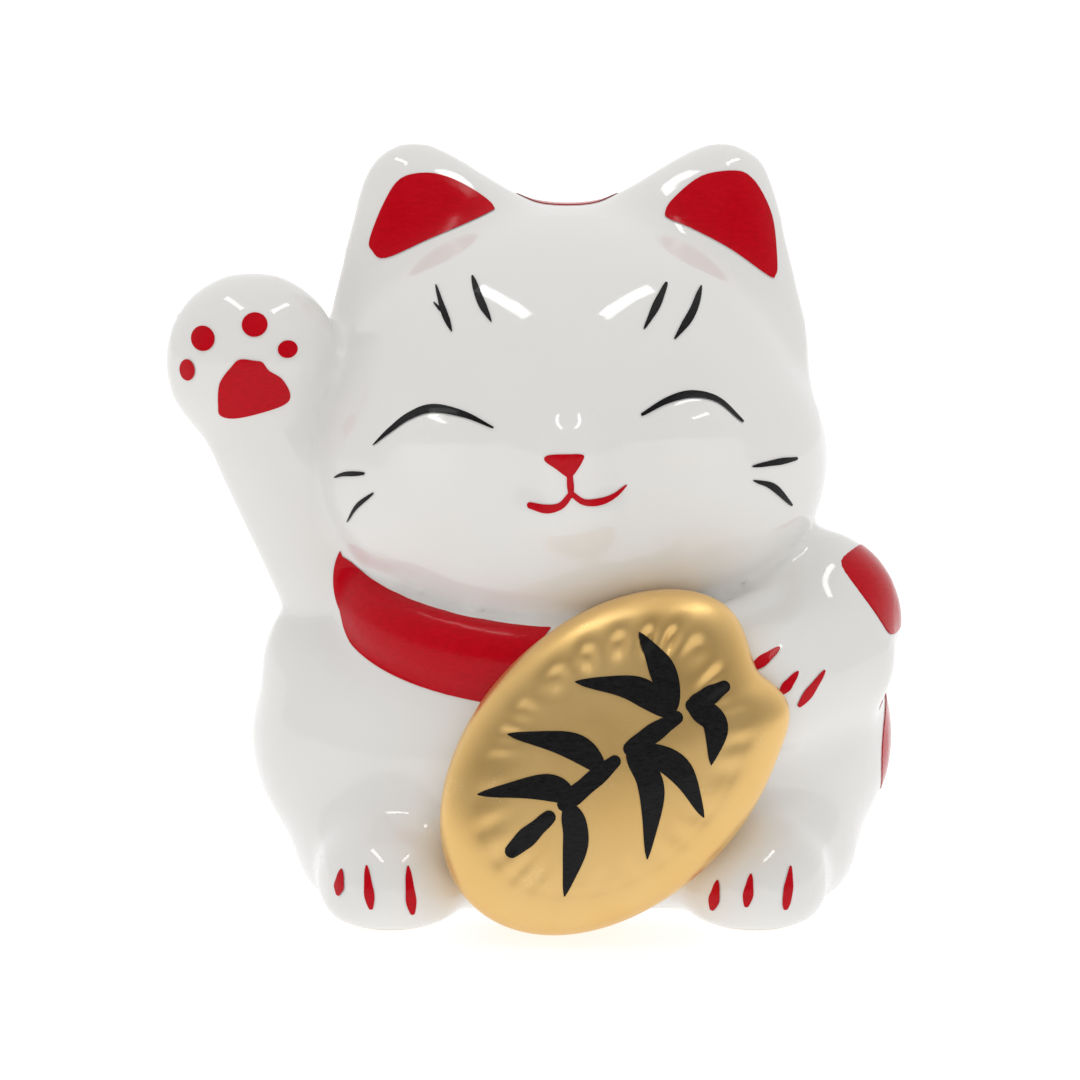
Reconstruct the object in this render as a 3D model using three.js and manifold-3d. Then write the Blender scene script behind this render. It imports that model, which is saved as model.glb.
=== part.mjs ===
// Beckoning cat money bank: one hollow slip-cast earthenware shell, a soft plug in its base, and the coats
// of enamel, gold and ink brushed over its glaze. Millimetres, +Z up. The cat faces -Y, so its right side
// is at -X.
import * as THREE from "three";
import { MarchingCubes } from "three/addons/objects/MarchingCubes.js";
import { mergeVertices } from "three/addons/utils/BufferGeometryUtils.js";
import Module from "manifold-3d";

const wasm = await Module();
wasm.setup();

// -------------------------------------------------------------- driving dimensions
const HEAD = { x: -1, y: 0, z: 92, halfWidth: 49.5, halfDepth: 43, halfHeight: 44 };
const BODY = { halfWidth: 64, halfDepth: 48, y: 4, z: 26, halfHeight: 42, shoulderZ: 50 };
const EAR = { tipX: 30.5, tipZ: 146, tipRadius: 9, rootRadius: 15, flatness: 0.72 };
const PAW = { x: -63, y: -8, z: 105, halfWidth: 17.5, halfDepth: 14, halfHeight: 17.5 };
const ARM_RADIUS = 13;
const FOOT = { x: 36, y: -34, z: 8, halfWidth: 15.5, halfDepth: 20, halfHeight: 13 };
const COLLAR = { z: 63.5, halfWidth: 45.5, halfDepth: 40, drop: 13.5, rise: 3, proud: 5, halfHeight: 8 };
// The coin's sides run straight back into the body by its root, as a mould with no undercut leaves them.
const KOBAN = {
  x: 7.4, y: -47, z: 33,
  halfWidth: 26, halfLength: 37, thickness: 24, rim: 4.5, dome: 2.5, root: 8,
};
const KOBAN_LEAN = THREE.MathUtils.degToRad(45);
const KOBAN_TIP = THREE.MathUtils.degToRad(8);
// How far inside the coin's end and side the lowered paw holds it, and the paw's own size and depth.
const GRIP = { along: 8.3, across: 14.3, radius: 13, y: -33 };
const WALL = 4.5;
const FLOOR = 5.5;
const SLOT = { width: 38, height: 5, z: 104 };
const HOLE_RADIUS = 17;
const STOPPER = { y: 4, lip: 4, flangeThickness: 1.8, recessDepth: 2.6, length: 10, wall: 2.5 };
const CLEARANCE = 0.3;
const COAT = 0.5;
const BASE_ROUND = 9;
const OUTER_CELL = 5.5;
const CAVITY_CELL = 8;

// -------------------------------------------------------------- colours of the glaze, enamel, gold and ink
const WHITE = { color: 0xf2f1ee, roughness: 0.08 };
const RED = { color: 0xb8081c, roughness: 0.12 };
const INK = { color: 0x262626, roughness: 0.25 };
const GOLD = { color: 0xd9ae63, roughness: 0.38, metalness: 0.8 };
const SOFT_WHITE = { color: 0xe4e4dd, roughness: 0.5 };

// -------------------------------------------------------------- distances that describe the modelled form
const blend = (a, b, soft) => {
  const h = Math.max(soft - Math.abs(a - b), 0) / soft;
  return Math.min(a, b) - (h * h * soft) / 4;
};

// An ellipsoid.
const ball = ([cx, cy, cz], [rx, ry, rz]) => (x, y, z) => {
  const px = (x - cx) / rx;
  const py = (y - cy) / ry;
  const pz = (z - cz) / rz;
  const near = Math.hypot(px, py, pz);
  const steep = Math.hypot(px / rx, py / ry, pz / rz);
  return steep < 1e-9 ? -Math.min(rx, ry, rz) : (near * (near - 1)) / steep;
};

// A limb that tapers from one round end to the other; flatness below 1 thins it from front to back.
const limb = ([ax, ay, az], ra, [bx, by, bz], rb, flatness = 1) => {
  const dx = bx - ax;
  const dy = (by - ay) / flatness;
  const dz = bz - az;
  const length2 = dx * dx + dy * dy + dz * dz;
  return (x, y, z) => {
    const px = x - ax;
    const py = (y - ay) / flatness;
    const pz = z - az;
    const t = Math.min(1, Math.max(0, (px * dx + py * dy + pz * dz) / length2));
    return (Math.hypot(px - t * dx, py - t * dy, pz - t * dz) - ra - t * (rb - ra)) * flatness;
  };
};

// The collar's rolled band: an oval ring around the neck that hangs lower in front.
const collarRing = (x, y, z) => {
  const px = x / COLLAR.halfWidth;
  const py = y / COLLAR.halfDepth;
  const near = Math.hypot(px, py);
  const steep = Math.hypot(px / COLLAR.halfWidth, py / COLLAR.halfDepth);
  const out = steep < 1e-9 ? -COLLAR.halfDepth : (near * (near - 1)) / steep;
  const middle = COLLAR.z + py * (py < 0 ? COLLAR.drop : COLLAR.rise);
  return Math.hypot(out, ((z - middle) * COLLAR.proud) / COLLAR.halfHeight) - COLLAR.proud;
};

// Each lump has its distance, how softly it flows into the lumps before it, and whether it is cast hollow.
const lump = (at, soft, hollow = false) => ({ at, soft, hollow });

const shoulder = BODY.halfWidth * 0.72;
const gripAlong = KOBAN.halfLength - GRIP.along;
const gripAcross = KOBAN.halfWidth - GRIP.across;
const leftPaw = {
  x: KOBAN.x + gripAlong * Math.sin(KOBAN_LEAN) + gripAcross * Math.cos(KOBAN_LEAN),
  z: KOBAN.z + gripAlong * Math.cos(KOBAN_LEAN) - gripAcross * Math.sin(KOBAN_LEAN),
};
const TRUNK = [
  lump(ball([0, BODY.y, BODY.z], [BODY.halfWidth, BODY.halfDepth, BODY.halfHeight]), 1, true),
  lump(ball([0, 0, BODY.shoulderZ], [shoulder, 36, 24]), 12, true),
  lump(ball([shoulder, -6, BODY.shoulderZ + 3], [19, 19, 18]), 12, true),
  lump(limb([shoulder + 4, -16, BODY.shoulderZ - 2], 13.5, [leftPaw.x, GRIP.y, leftPaw.z], GRIP.radius), 12),
  lump(ball([-FOOT.x, FOOT.y, FOOT.z], [FOOT.halfWidth, FOOT.halfDepth, FOOT.halfHeight]), 8),
  lump(ball([FOOT.x, FOOT.y, FOOT.z], [FOOT.halfWidth, FOOT.halfDepth, FOOT.halfHeight]), 8),
  lump(limb([4, BODY.y + 42, 12], 9, [26, BODY.y + 39, 22], 8), 6),
  lump(collarRing, 2),
];
const RAISED_ARM = [
  lump(limb([-shoulder + 2, -2, BODY.shoulderZ - 3], 15, [PAW.x + 2, PAW.y, PAW.z - 14], ARM_RADIUS), 1, true),
  lump(ball([PAW.x, PAW.y, PAW.z], [PAW.halfWidth, PAW.halfDepth, PAW.halfHeight]), 8, true),
];

const cheek = (side) =>
  ball(
    [HEAD.x + side * HEAD.halfWidth * 0.38, -3, HEAD.z - HEAD.halfHeight * 0.2],
    [HEAD.halfWidth * 0.62, HEAD.halfDepth * 0.88, HEAD.halfHeight * 0.66],
  );
const earTip = (side) => [HEAD.x + side * EAR.tipX, 3, EAR.tipZ - EAR.tipRadius];
const earEdge = (side, across, up) =>
  limb([HEAD.x + side * across, 3, up], EAR.rootRadius, earTip(side), EAR.tipRadius, EAR.flatness);
const HEAD_LUMPS = [
  lump(ball([HEAD.x, HEAD.y, HEAD.z], [HEAD.halfWidth * 0.93, HEAD.halfDepth, HEAD.halfHeight]), 1, true),
  lump(cheek(-1), 14, true),
  lump(cheek(1), 14, true),
  ...[-1, 1].flatMap((side) => [
    lump(earEdge(side, EAR.tipX + 2, HEAD.z + 14), 7),
    lump(earEdge(side, EAR.tipX - 16, HEAD.z + 31), 7),
  ]),
  lump(ball([HEAD.x, HEAD.y - 6, HEAD.z - 19], [39, 37, 24]), 12),
  lump(ball([HEAD.x, HEAD.y - HEAD.halfDepth * 0.82, HEAD.z - HEAD.halfHeight * 0.24], [14, 11, 11]), 8),
];

const gather = (lumps, x, y, z) => {
  let d = 1e9;
  for (const one of lumps) d = d > 1e8 ? one.at(x, y, z) : blend(d, one.at(x, y, z), one.soft);
  return d;
};

// Distance to the whole cat without its coin: the head and the raised arm flow into the trunk.
function cat(x, y, z) {
  const trunk = gather(TRUNK, x, y, z);
  const arm = blend(trunk, gather(RAISED_ARM, x, y, z), 9);
  const whole = blend(arm, gather(HEAD_LUMPS, x, y, z), 3);
  return -blend(-whole, z + BASE_ROUND / 4, BASE_ROUND);
}

// Distance to the hollow inside: the thick lumps only, a wall further in and a floor further up.
const HOLLOW = [...TRUNK, ...HEAD_LUMPS, ...RAISED_ARM].filter((one) => one.hollow);
function cavity(x, y, z) {
  let d = 1e9;
  for (const one of HOLLOW) d = Math.min(d, one.at(x, y, z));
  return Math.max(d + WALL, FLOOR - z);
}

// -------------------------------------------------------------- solids
const MIDDLE = new THREE.Vector3(0, 0, EAR.tipZ / 2 + 1);
const MARGIN = 22;
const SPREAD = Math.max(EAR.tipZ / 2, PAW.halfWidth - PAW.x - 10, BODY.halfWidth, HEAD.halfWidth) + MARGIN;
const PROBE = 0.5;

function solid(geometry) {
  const bare = geometry.index ? geometry.toNonIndexed() : geometry.clone();
  bare.deleteAttribute("normal");
  bare.deleteAttribute("uv");
  const merged = mergeVertices(bare, 1e-4);
  const corners = merged.index.array;
  const kept = [];
  for (let i = 0; i < corners.length; i += 3) {
    const [a, b, c] = corners.slice(i, i + 3);
    if (a !== b && b !== c && c !== a) kept.push(a, b, c);
  }
  return new wasm.Manifold(
    new wasm.Mesh({
      numProp: 3,
      vertProperties: merged.getAttribute("position").array,
      triVerts: new Uint32Array(kept),
    }),
  );
}

// The surface of a distance as a faceted solid, with each corner then moved out by grow.
function skin(distance, cell, grow = 0) {
  const size = 2 * Math.ceil(SPREAD / cell) + 2;
  const half = size / 2;
  const cubes = new MarchingCubes(size, undefined, false, false, 60000);
  cubes.isolation = 0;
  let i = 0;
  for (let k = 0; k < size; k++)
    for (let j = 0; j < size; j++)
      for (let n = 0; n < size; n++, i++) {
        const at = new THREE.Vector3(n - half, j - half, k - half).multiplyScalar(cell).add(MIDDLE);
        cubes.field[i] = -distance(at.x, at.y, at.z);
      }
  cubes.update();
  const points = cubes.geometry.getAttribute("position").array.slice(0, cubes.count * 3);
  const geometry = new THREE.BufferGeometry().setAttribute("position", new THREE.BufferAttribute(points, 3));
  geometry.scale(cell * half, cell * half, cell * half).translate(...MIDDLE.toArray());
  for (let corner = 0; grow && corner < points.length; corner += 3) {
    const [x, y, z] = points.subarray(corner, corner + 3);
    const out = new THREE.Vector3(
      distance(x + PROBE, y, z) - distance(x - PROBE, y, z),
      distance(x, y + PROBE, z) - distance(x, y - PROBE, z),
      distance(x, y, z + PROBE) - distance(x, y, z - PROBE),
    ).setLength(grow);
    points.set([x + out.x, y + out.y, z + out.z], corner);
  }
  return solid(geometry);
}

function block([x0, y0, z0], [x1, y1, z1]) {
  const geometry = new THREE.BoxGeometry(x1 - x0, y1 - y0, z1 - z0);
  return solid(geometry.translate((x0 + x1) / 2, (y0 + y1) / 2, (z0 + z1) / 2));
}

const part = new THREE.Group();
function add(name, shape, look) {
  const { vertProperties, triVerts } = shape.getMesh();
  const geometry = new THREE.BufferGeometry()
    .setAttribute("position", new THREE.BufferAttribute(vertProperties, 3))
    .setIndex(new THREE.BufferAttribute(triVerts, 1));
  const made = new THREE.Mesh(geometry, new THREE.MeshStandardMaterial(look));
  made.name = name;
  part.add(made);
}

// -------------------------------------------------------------- the coin that the cat holds
const coinPlace = new THREE.Matrix4()
  .makeTranslation(KOBAN.x, KOBAN.y, KOBAN.z)
  .multiply(new THREE.Matrix4().makeRotationX(-KOBAN_TIP))
  .multiply(new THREE.Matrix4().makeRotationY(KOBAN_LEAN));

const inPlane = (points) => points.map(([u, v]) => new THREE.Vector2(u, v));

// The domed oval plate, grown all over by offset.
function coin(offset = 0) {
  const radius = KOBAN.halfWidth + offset;
  const half = KOBAN.thickness / 2 + offset;
  const flat = radius - KOBAN.rim;
  const profile = [
    [0, -half - KOBAN.dome],
    [flat * 0.6, -half - KOBAN.dome * 0.7],
  ];
  for (let turn = 0; turn <= 90; turn += 30) {
    const angle = THREE.MathUtils.degToRad(turn);
    profile.push([flat + KOBAN.rim * Math.sin(angle), KOBAN.rim * (1 - Math.cos(angle)) - half]);
  }
  profile.push([radius, half + KOBAN.root], [0, half + KOBAN.root]);
  const plate = new THREE.LatheGeometry(inPlane(profile), 40).scale(1, 1, (KOBAN.halfLength + offset) / radius);
  return solid(plate.applyMatrix4(coinPlace));
}

// -------------------------------------------------------------- shell and stopper
function disc(radius, bottom, top) {
  const geometry = new THREE.CylinderGeometry(radius, radius, top - bottom, 36).rotateX(Math.PI / 2);
  return solid(geometry.translate(0, STOPPER.y, (top + bottom) / 2));
}

// Everything above a height.
const above = (height) => block([-150, -150, height], [150, 150, 300]);
const slot = block(
  [HEAD.x - SLOT.width / 2, HEAD.y + HEAD.halfDepth / 3, SLOT.z - SLOT.height / 2],
  [HEAD.x + SLOT.width / 2, HEAD.y + HEAD.halfDepth * 2, SLOT.z + SLOT.height / 2],
);
const flangeRadius = HOLE_RADIUS + STOPPER.lip;
const shell = skin(cat, OUTER_CELL)
  .add(coin())
  .intersect(above(0))
  .subtract(skin(cavity, CAVITY_CELL))
  .subtract(disc(HOLE_RADIUS, -1, FLOOR + CAVITY_CELL))
  .subtract(disc(flangeRadius + CLEARANCE, -1, STOPPER.recessDepth))
  .subtract(slot);
add("ceramic_shell", shell, WHITE);

const seat = STOPPER.recessDepth - CLEARANCE;
const plugRadius = HOLE_RADIUS - CLEARANCE;
const dishRadius = plugRadius * 0.6;
const dishTop = seat + STOPPER.wall;
const plugProfile = [
  [0, dishTop],
  [dishRadius, dishTop],
  [dishRadius, seat - STOPPER.flangeThickness],
  [flangeRadius, seat - STOPPER.flangeThickness],
  [flangeRadius, seat],
  [plugRadius, seat],
  [plugRadius, STOPPER.length],
  [plugRadius - STOPPER.wall, STOPPER.length],
  [plugRadius - STOPPER.wall, dishTop + STOPPER.wall],
  [0, dishTop + STOPPER.wall],
];
const plug = new THREE.LatheGeometry(inPlane(plugProfile), 36).rotateX(Math.PI / 2).translate(0, STOPPER.y, 0);
const tabHalfWidth = dishRadius * 0.8;
const pullTab = block(
  [-tabHalfWidth, STOPPER.y - STOPPER.wall / 2, seat - STOPPER.flangeThickness],
  [tabHalfWidth, STOPPER.y + STOPPER.wall / 2, dishTop + STOPPER.wall / 2],
);
add("base_stopper", solid(plug).add(pullTab), SOFT_WHITE);

// -------------------------------------------------------------- brushwork outlines
const spline = (points, closed) =>
  new THREE.CatmullRomCurve3(points.map(([u, v]) => new THREE.Vector3(u, v, 0)), closed, "centripetal");

// A patch of paint with a soft outline through a few points.
const patch = (points) => new THREE.Shape(spline(points, true).getPoints(points.length * 2).slice(1));

const oval = (u, v, halfWidth, halfHeight, lean = 0) => {
  const path = new THREE.Path().absellipse(u, v, halfWidth, halfHeight, 0, 2 * Math.PI, false, lean);
  return new THREE.Shape(path.getPoints(12).slice(1));
};

// A brush stroke: full in its middle, thin where the brush lands and lifts.
const stroke = (points, width, thin = 0.3) => {
  const curve = spline(points, false);
  const steps = 6;
  const left = [];
  const right = [];
  for (let i = 0; i <= steps; i++) {
    const t = i / steps;
    const at = curve.getPoint(t);
    const along = curve.getTangent(t);
    const half = (width / 2) * (thin + (1 - thin) * Math.sin(Math.PI * t));
    left.push(new THREE.Vector2(at.x - along.y * half, at.y + along.x * half));
    right.unshift(new THREE.Vector2(at.x + along.y * half, at.y - along.x * half));
  }
  return new THREE.Shape([...right, ...left]);
};

// The ways that the painter faces the cat: right, up and outwards for each, and the depth that the brush
// starts from.
const REACH = 90;
const facing = (right, up, out, start) =>
  new THREE.Matrix4().makeBasis(right, up, out).setPosition(out.clone().multiplyScalar(start));
const [X, Y, Z] = [new THREE.Vector3(1, 0, 0), new THREE.Vector3(0, 1, 0), new THREE.Vector3(0, 0, 1)];
const fromFront = (start) => facing(X, Z, Y.clone().negate(), start);
const FROM_FRONT = fromFront(1);
const FROM_BACK = facing(X.clone().negate(), Z, Y, 2);
const FROM_LEFT = facing(Y, Z, X, 30);
const FROM_TOP = facing(X, Y, Z, HEAD.z);
const ON_COIN = coinPlace.clone().multiply(FROM_FRONT);

// Outlines pushed through a film of paint as one coat.
function coat(name, outlines, place, film, look) {
  const pushed = outlines.map((outline) => {
    const push = { depth: REACH, bevelEnabled: false, curveSegments: 6 };
    const geometry = new THREE.ExtrudeGeometry(outline, push);
    return solid(geometry.applyMatrix4(place));
  });
  add(name, pushed.reduce((all, one) => all.add(one)).intersect(film), look);
}

// The film of paint on the glaze: it starts a clearance off it and is one coat thick.
const guard = skin(cat, OUTER_CELL, CLEARANCE);
const film = skin(cat, OUTER_CELL, CLEARANCE + COAT)
  .subtract(guard)
  .subtract(coin(2 * CLEARANCE + COAT))
  .intersect(above(CLEARANCE));

// -------------------------------------------------------------- face
// Marks on the face are placed in shares of the head's half width and half height from its centre.
const onFace = (points) => points.map(([u, v]) => [HEAD.x + u * HEAD.halfWidth, HEAD.z + v * HEAD.halfHeight]);
const LINE = 1.4;
const HAIR = 1.2;

const NOSE = [[-0.07, -0.01], [0.04, 0], [0.06, -0.02], [0.01, -0.1], [-0.09, -0.03]];
const nose = patch(onFace(NOSE));
const lip = stroke(onFace([[0.005, -0.08], [0.003, -0.17]]), LINE, 1);
const SMILE_RIGHT = [[0.005, -0.15], [-0.03, -0.22], [-0.09, -0.245], [-0.17, -0.215]];
const SMILE_LEFT = [[0, -0.15], [0.04, -0.205], [0.11, -0.22], [0.225, -0.15]];
const smileRight = stroke(onFace(SMILE_RIGHT), LINE * 1.1);
const smileLeft = stroke(onFace(SMILE_LEFT), LINE);
coat("nose_and_mouth", [nose, lip, smileRight, smileLeft], FROM_FRONT, film, RED);

const INK_LINES = {
  eye_line_right: [[[-0.76, 0.0], [-0.64, 0.13], [-0.48, 0.17], [-0.285, 0.115]]],
  eye_line_left: [[[0.28, 0.17], [0.38, 0.225], [0.5, 0.215], [0.68, 0.11]]],
  brow_right_outer: [[[-0.52, 0.68], [-0.49, 0.59], [-0.455, 0.5]], [[-0.5, 0.58], [-0.472, 0.54]]],
  brow_right_inner: [[[-0.375, 0.73], [-0.34, 0.64], [-0.295, 0.54]]],
  brow_left_inner: [[[0.385, 0.7], [0.345, 0.6], [0.29, 0.51]]],
  brow_left_outer: [[[0.525, 0.68], [0.48, 0.57], [0.41, 0.465]]],
  whisker_right_upper: [[[-0.92, -0.165], [-0.86, -0.135], [-0.79, -0.125]]],
  whisker_right_lower: [[[-0.755, -0.205], [-0.82, -0.27], [-0.87, -0.365]]],
  whisker_left_upper: [[[0.71, -0.09], [0.8, -0.08], [0.9, -0.09]]],
  whisker_left_lower: [[[0.715, -0.145], [0.81, -0.185], [0.88, -0.285]]],
};
for (const [name, lines] of Object.entries(INK_LINES))
  coat(name, lines.map((line) => stroke(onFace(line), HAIR)), FROM_FRONT, film, INK);

// -------------------------------------------------------------- ears, crown and spots
const fromTip = (side, points) => points.map(([u, v]) => [HEAD.x + side * (EAR.tipX + u), EAR.tipZ + v]);
const RIGHT_EAR = [[0, -3.4], [-6.5, -8.5], [-16, -10.5], [-6.5, -15], [6, -20], [8.5, -17], [5, -6.5]];
const LEFT_EAR = [
  [1.5, -3], [-5, -5.8], [-11.3, -10.8], [-2, -16.5],
  [9.5, -23.8], [11, -21], [9.7, -13], [5, -4.3],
];
coat("ear_red_right", [patch(fromTip(-1, RIGHT_EAR))], FROM_FRONT, film, RED);
coat("ear_red_left", [patch(fromTip(1, LEFT_EAR))], FROM_FRONT, film, RED);
coat("crown_spot", [oval(HEAD.x, HEAD.y + 14, 14, 19)], FROM_TOP, film, RED);

const shoulderSpot = [
  [-13, 17.5], [-17, 13], [-18.5, 7], [-15.5, 4], [-7, 3.5],
  [0, 7], [4, 13], [0, 18], [-7, 20],
];
const onShoulder = shoulderSpot.map(([u, v]) => [u, BODY.shoulderZ + v]);
coat("shoulder_spot", [patch(onShoulder)], FROM_LEFT, film, RED);
coat("flank_spot", [oval(BODY.y + 6, BODY.z + 2.5, 18, 10.5)], FROM_LEFT, film, RED);
coat("raised_paw_back_spot", [oval(-PAW.x + 3, PAW.z + 8, 9.5, 9)], FROM_BACK, film, RED);

// -------------------------------------------------------------- collar
// The red band follows the rolled ring, full in the middle of the neck and narrowing towards its ends. Its last
// end may slant, as the coin's edge does.
function collarBand(from, to, rise, halfHeight, slant = 0) {
  const steps = 12;
  const edge = (side, end) => {
    const points = [];
    for (let i = 0; i <= steps; i++) {
      const x = from + ((end - from) * i) / steps;
      const middle = COLLAR.z + rise * Math.sqrt(1 - Math.min(1, (x / COLLAR.halfWidth) ** 2));
      const half = halfHeight * Math.sqrt(1 - (x / (COLLAR.halfWidth + 4)) ** 2);
      points.push(new THREE.Vector2(x, middle + side * half));
    }
    return points;
  };
  return new THREE.Shape([...edge(-1, to - slant), ...edge(1, to).reverse()]);
}
const bandHalf = COLLAR.halfHeight - 0.5;
const nape = collarBand(-34, 34, COLLAR.rise, bandHalf * 0.8);
const throat = collarBand(-COLLAR.halfWidth - 1.5, KOBAN.x - 4, -COLLAR.drop, bandHalf, 13);
coat("collar_red_front", [throat], FROM_FRONT, film, RED);
coat("collar_red_back", [nape], FROM_BACK, film, RED);

// -------------------------------------------------------------- paws
const onPaw = (points) => points.map(([u, v]) => [PAW.x + u, PAW.z + v]);
const PALM = [[-6, -5], [-5.5, -8.8], [0, -9], [7, -6.3], [8, -4], [5.5, -0.5], [2, 2], [-1.5, 2.3], [-4, 0]];
coat("palm_pad", [patch(onPaw(PALM))], FROM_FRONT, film, RED);
const TOES = [[-12.2, 0, 1.6, 2.1], [-9, 6.3, 2.4, 2.4], [1.2, 9.1, 2.5, 2.3], [7.6, 4.3, 1.9, 1.7]];
TOES.forEach(([u, v, halfWidth, halfHeight], i) =>
  coat(`toe_pad_${i + 1}`, [oval(PAW.x + u, PAW.z + v, halfWidth, halfHeight)], FROM_FRONT, film, RED),
);

// Each paw's middle, the depth that the brush starts from, and its claws from top to bottom.
const CLAWS = {
  right_foot: [-FOOT.x, FOOT.z, -FOOT.y, [[-8.5, 4.5, -9, -1], [-3.5, 5.8, -2.6, -2.8], [4.4, 5.8, 5.4, -4]]],
  left_foot: [FOOT.x, FOOT.z, -FOOT.y, [[-8.4, 2.8, -9.7, -3.7], [-2.2, 4.5, -3.2, -2.2], [5.6, 5.5, 4.3, -3]]],
  left_paw: [leftPaw.x, leftPaw.z, -GRIP.y, [[3.7, 9.4, -1.9, 5.7], [7.2, 5, 3.4, 0.7], [12.6, 4.4, 7, -2]]],
};
const CLAW = 1.8;
for (const [paw, [x, z, start, claws]] of Object.entries(CLAWS))
  claws.forEach(([u0, v0, u1, v1], i) => {
    const line = stroke([[x + u0, z + v0], [x + u1, z + v1]], CLAW);
    coat(`${paw}_claw_${i + 1}`, [line], fromFront(start), film, RED);
  });

// -------------------------------------------------------------- gold and ink on the coin
const goldBack = KOBAN.thickness / 10;
const gilded = new THREE.BoxGeometry(200, 60, 200).translate(0, goldBack - 30, 0).applyMatrix4(coinPlace);
const gold = coin(CLEARANCE + COAT)
  .subtract(coin(CLEARANCE))
  .intersect(solid(gilded))
  .intersect(above(CLEARANCE))
  .subtract(guard);
add("koban_gold", gold, GOLD);

// A brushed sprig of bamboo: a jointed cane with leaves hanging off it.
const CANE = [[-2, -25], [-1, -8], [0.5, 8], [3, 25]];
const LEAVES = [
  [[0, -10], [-6, -13], [-13, -21]],
  [[-1, -11], [5, -15], [10, -23]],
  [[0, -2], [-8, -3], [-17, -9]],
  [[0, 4], [8, 2], [16, -6]],
  [[0, 6], [9, 8], [18, 5]],
  [[1, 14], [-7, 13], [-15, 7]],
  [[1, 15], [-6, 19], [-14, 20]],
  [[2, 18], [8, 20], [12, 15]],
];
const inkFilm = coin(2 * (CLEARANCE + COAT)).subtract(coin(2 * CLEARANCE + COAT)).subtract(guard);
const sprig = [stroke(CANE, 3, 0.6), ...LEAVES.map((leaf) => stroke(leaf, 4.4, 0.2))];
coat("koban_brushwork", sprig, ON_COIN, inkFilm, INK);

// The origin is under the middle of the whole cat, on the surface that it stands on.
const bounds = new THREE.Box3().setFromObject(part);
const middle = bounds.getCenter(new THREE.Vector3());
part.position.set(-middle.x, -middle.y, -bounds.min.z);

export default part;
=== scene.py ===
"""The looks of a beckoning cat money bank: slip-cast white earthenware under a clear glaze, with red and
black enamel brushed on, a gold coin held on its belly, and a soft plug in its base."""

import math
import random

import bpy
from mathutils import Matrix, Vector


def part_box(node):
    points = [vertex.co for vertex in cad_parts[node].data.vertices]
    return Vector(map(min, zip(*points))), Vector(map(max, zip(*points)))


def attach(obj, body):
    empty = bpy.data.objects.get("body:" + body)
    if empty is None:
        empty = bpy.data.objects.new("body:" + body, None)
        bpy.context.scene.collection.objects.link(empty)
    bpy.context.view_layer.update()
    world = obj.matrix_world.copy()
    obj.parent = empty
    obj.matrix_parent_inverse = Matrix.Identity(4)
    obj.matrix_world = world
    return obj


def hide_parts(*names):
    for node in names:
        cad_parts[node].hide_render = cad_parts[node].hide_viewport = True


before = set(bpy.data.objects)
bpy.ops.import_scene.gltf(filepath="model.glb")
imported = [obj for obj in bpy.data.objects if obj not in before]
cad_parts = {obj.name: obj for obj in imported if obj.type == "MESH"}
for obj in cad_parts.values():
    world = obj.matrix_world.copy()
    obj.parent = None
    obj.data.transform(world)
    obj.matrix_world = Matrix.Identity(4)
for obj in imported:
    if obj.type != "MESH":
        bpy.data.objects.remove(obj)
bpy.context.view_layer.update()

random.seed(8)

# ------------------------------------------------------------------ the cat's own coordinates
# Sizes here are in millimetres from the cat's middle line: x to its left, y to its back, z up from the shelf.
# The middle line passes a little in front of the plug in its base.
MM = 0.001
PLUG_LOW, PLUG_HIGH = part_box("base_stopper")
PLUG_MIDDLE = (PLUG_LOW + PLUG_HIGH) / 2
PLUG_Y = 4
MIDDLE = Vector((PLUG_MIDDLE.x, PLUG_MIDDLE.y - PLUG_Y * MM, 0))
HEAD_X, HEAD_Z = -1, 92
EAR_X = 30.5
PAW = Vector((-63, -8, 105.8))
FOOT_X = 35
NECK_Z, NECK_HALF_WIDTH, NECK_HALF_DEPTH = 63.5, 45.5, 40
COLLAR_DROP, COLLAR_RISE = 13.5, 3
COIN_MIDDLE = (7.4, -47, 33)
COIN_HALF_WIDTH, COIN_HALF_LENGTH, COIN_THICKNESS = 26.6, 38, 24.8
COIN_LEAN, COIN_TIP = math.radians(45), math.radians(8)
COLLAR_PROUD, COLLAR_HALF_HEIGHT = 5, 8
ARM_START, ARM_END = (-37.5, -2, 47), (-59.2, -8, 91)
ARM_START_RADIUS, ARM_END_RADIUS = 15, 12.9

# The wall that the slip leaves, the coin slot behind the head, and the plug's hole with the recess round it.
WALL = 4.5
FLOOR = 5.5
SLOT_LOW, SLOT_HIGH = (-20, 30, 101.5), (18, 90, 106.5)
HOLE_RADIUS, RECESS_RADIUS, RECESS_DEPTH = 17, 21.3, 2.6
PLUG_CLEARANCE = 0.3

# How thick a coat of paint is drawn, how finely the lumps and then the whole cast are fused, and a distance
# that is well clear of the cat.
FILM = 0.22
CLAY_GRAIN, CAST_GRAIN = 2.4, 1.2
BEYOND = 120


def at(x, y, z):
    """A place on the cat in the frame's metres."""
    return MIDDLE + Vector((x, y, z)) * MM


# ------------------------------------------------------------------ bench work
def pick(*objects):
    """Deselects everything, then selects these and makes the first one active."""
    bpy.ops.object.select_all(action="DESELECT")
    for one in objects:
        one.select_set(True)
    bpy.context.view_layer.objects.active = objects[0]
    return objects[0]


def apply_modifier(obj, kind, **settings):
    """Adds one modifier with its settings and applies it."""
    pick(obj)
    modifier = obj.modifiers.new(kind.lower(), kind)
    for key, value in settings.items():
        setattr(modifier, key, value)
    bpy.ops.object.modifier_apply(modifier=modifier.name)
    return obj


def settle(obj):
    """Puts an object's place, turn and size into its mesh."""
    pick(obj)
    bpy.ops.object.transform_apply(location=True, rotation=True, scale=True)
    return obj


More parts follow.
